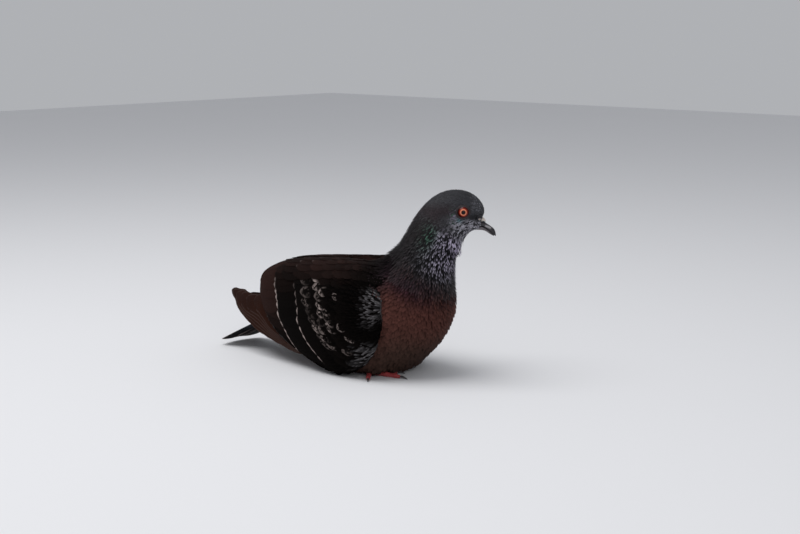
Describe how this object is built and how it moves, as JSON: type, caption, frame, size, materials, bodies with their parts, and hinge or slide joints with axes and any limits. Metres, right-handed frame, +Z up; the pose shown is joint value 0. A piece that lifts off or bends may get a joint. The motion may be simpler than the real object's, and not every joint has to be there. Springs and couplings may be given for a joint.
{
  "type": "pigeon",
  "caption": "Life-size dark pigeon crouched with its belly on the floor, wings folded, tail held low, neck upright and head turned to its left.",
  "frame": {"origin": "on the flat patch of the belly that rests on the floor, below the middle of the trunk", "axes": "+X forwards from tail to breast, +Y to the bird's left, +Z up"},
  "size_m": [0.2591, 0.1002, 0.1489],
  "materials": {
    "body_feathers": "dark maroon-brown contour feathers, olive-dark at the belly",
    "neck_feathers": "near-black hackle feathers with a green and violet sheen",
    "head_feathers": "short charcoal slate feathers",
    "wing_feathers": "near-black brown coverts with pale flecks",
    "flight_feathers": "dark brown flight feathers",
    "tail_feathers": "slate grey tail feathers with a black end band",
    "bill": "dark horn with a dull polish",
    "cere": "whitish, powdery swellings",
    "eye": "orange iris ring in dark red, black pupil, wet clear front",
    "foot_skin": "crimson scaled skin",
    "claw": "blackish horn"
  },
  "bodies": {
    "root": {"bill_lower": "bill", "bill_upper": "bill", "cere": "cere", "claw_hind_left": "claw", "claw_hind_right": "claw", "claw_inner_left": "claw", "claw_inner_right": "claw", "claw_middle_left": "claw", "claw_middle_right": "claw", "claw_outer_left": "claw", "claw_outer_right": "claw", "eye_left": "eye", "eye_right": "eye", "head": "head_feathers", "leg_left": "foot_skin", "leg_right": "foot_skin", "neck": "neck_feathers", "tail": "tail_feathers", "toe_hind_left": "foot_skin", "toe_hind_right": "foot_skin", "toe_inner_left": "foot_skin", "toe_inner_right": "foot_skin", "toe_middle_left": "foot_skin", "toe_middle_right": "foot_skin", "toe_outer_left": "foot_skin", "toe_outer_right": "foot_skin", "trunk": "body_feathers", "wing_left": "wing_feathers", "wing_right": "wing_feathers", "wing_tip_left": "flight_feathers", "wing_tip_right": "flight_feathers"}
  },
  "joints": []
}
